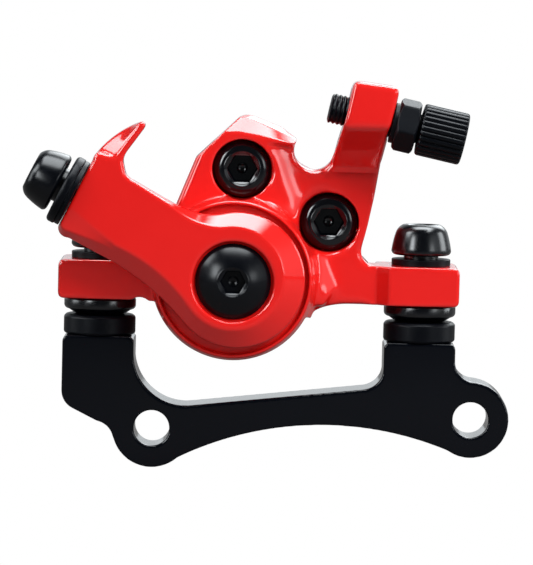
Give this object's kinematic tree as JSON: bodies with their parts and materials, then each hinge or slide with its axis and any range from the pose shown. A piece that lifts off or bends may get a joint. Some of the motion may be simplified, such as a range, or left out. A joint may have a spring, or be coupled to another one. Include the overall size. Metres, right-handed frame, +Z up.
{
  "type": "electric scooter brake caliper",
  "caption": "Cable disc brake caliper with a lever arm and barrel adjuster, bolted to a flat adapter bracket with frame holes.",
  "frame": {"origin": "centre of the left frame hole on the bracket's outboard face", "axes": "+X to the right along the line of the two mounting bolts, +Y inboard to the wheel, +Z up from the bracket to the caliper; the outboard side with the arm faces -Y"},
  "size_m": [0.1123, 0.0561, 0.0904],
  "materials": {
    "bracket_coat": "satin black",
    "caliper_red": "gloss",
    "bolt_black": "gloss black oxide",
    "washer_black": "satin black",
    "adjuster_black": "black anodised",
    "bare_steel": "ground",
    "brass_sheet": "plain",
    "seal_rubber": "matt",
    "pad_plate": "plain",
    "pad_lining": "rough",
    "screw_aluminium": "black anodised",
    "magnet": "nickel"
  },
  "bodies": {
    "bracket": {"adapter_bracket": "bracket_coat", "mounting_bolts": "bolt_black", "mounting_washers": "bolt_black", "domed_washers": "bolt_black", "cup_washers": "washer_black"},
    "caliper": {"outer_half": "caliper_red", "inner_half": "caliper_red", "body_bolts": "bolt_black", "spindle_bush": "brass_sheet", "thrust_washer": "bare_steel", "dust_seal": "seal_rubber"},
    "lever": {"arm": "caliper_red", "pivot_bolt": "bolt_black", "anchor_bolt": "bolt_black", "anchor_washer": "washer_black", "anchor_plate": "washer_black", "drive_cam": "bare_steel", "return_spring": "bare_steel"},
    "cage": {"ball_cage": "brass_sheet"},
    "balls": {"steel_balls": "bare_steel"},
    "piston_group": {"piston": "bare_steel", "piston_seal": "seal_rubber", "piston_magnet": "magnet", "moving_pad_plate": "pad_plate", "moving_pad_lining": "pad_lining"},
    "fixed_pad_group": {"pad_carrier": "bare_steel", "carrier_magnet": "magnet", "fixed_pad_plate": "pad_plate", "fixed_pad_lining": "pad_lining"},
    "pad_screw_group": {"pad_screw": "screw_aluminium", "screw_seal": "seal_rubber"},
    "barrel": {"barrel_adjuster": "adjuster_black"},
    "nut": {"lock_nut": "bolt_black"}
  },
  "joints": [
    {"name": "caliper_shift", "type": "slide", "parent": "bracket", "child": "caliper", "axis": [0, 1, 0], "range_m": [-0.0015, 0.0015]},
    {"name": "arm_turn", "type": "hinge", "parent": "caliper", "child": "lever", "pos_m": [0.0181, 0, 0.0352], "axis": [0, 1, 0], "range_deg": [0, 40], "stiffness_Nm_per_rad": 0.3, "springref_deg": -28.65, "deforming": ["return_spring"]},
    {"name": "cage_turn", "type": "hinge", "parent": "caliper", "child": "cage", "pos_m": [0.0181, 0, 0.0352], "axis": [0, 1, 0], "range_deg": [-1, 21]},
    {"name": "ball_rise", "type": "slide", "parent": "cage", "child": "balls", "axis": [0, 1, 0], "range_m": [-0.0001, 0.0008]},
    {"name": "piston_push", "type": "slide", "parent": "caliper", "child": "piston_group", "axis": [0, 1, 0], "range_m": [-0.0001, 0.0015]},
    {"name": "fixed_pad_feed", "type": "slide", "parent": "caliper", "child": "fixed_pad_group", "axis": [0, -1, 0], "range_m": [-0.0001, 0.0011]},
    {"name": "pad_screw_turn", "type": "hinge", "parent": "fixed_pad_group", "child": "pad_screw_group", "pos_m": [0.0181, 0, 0.0352], "axis": [0, 1, 0], "range_deg": [0, 240]},
    {"name": "barrel_turn", "type": "hinge", "parent": "caliper", "child": "barrel", "pos_m": [0.039, -0.0085, 0.07505], "axis": [0.9781, 0, -0.2079], "range_deg": [0, 330]},
    {"name": "lock_nut_turn", "type": "hinge", "parent": "caliper", "child": "nut", "pos_m": [0.039, -0.0085, 0.07505], "axis": [0.9781, 0, -0.2079], "range_deg": [0, 60]}
  ],
  "couplings": [
    {"joint": "cage_turn", "follows": "arm_turn", "ratio": 0.5},
    {"joint": "ball_rise", "follows": "arm_turn", "m_per_rad": 0.001},
    {"joint": "piston_push", "follows": "arm_turn", "m_per_rad": 0.002},
    {"joint": "fixed_pad_feed", "follows": "pad_screw_turn", "m_per_rad": 0.00023873}
  ]
}
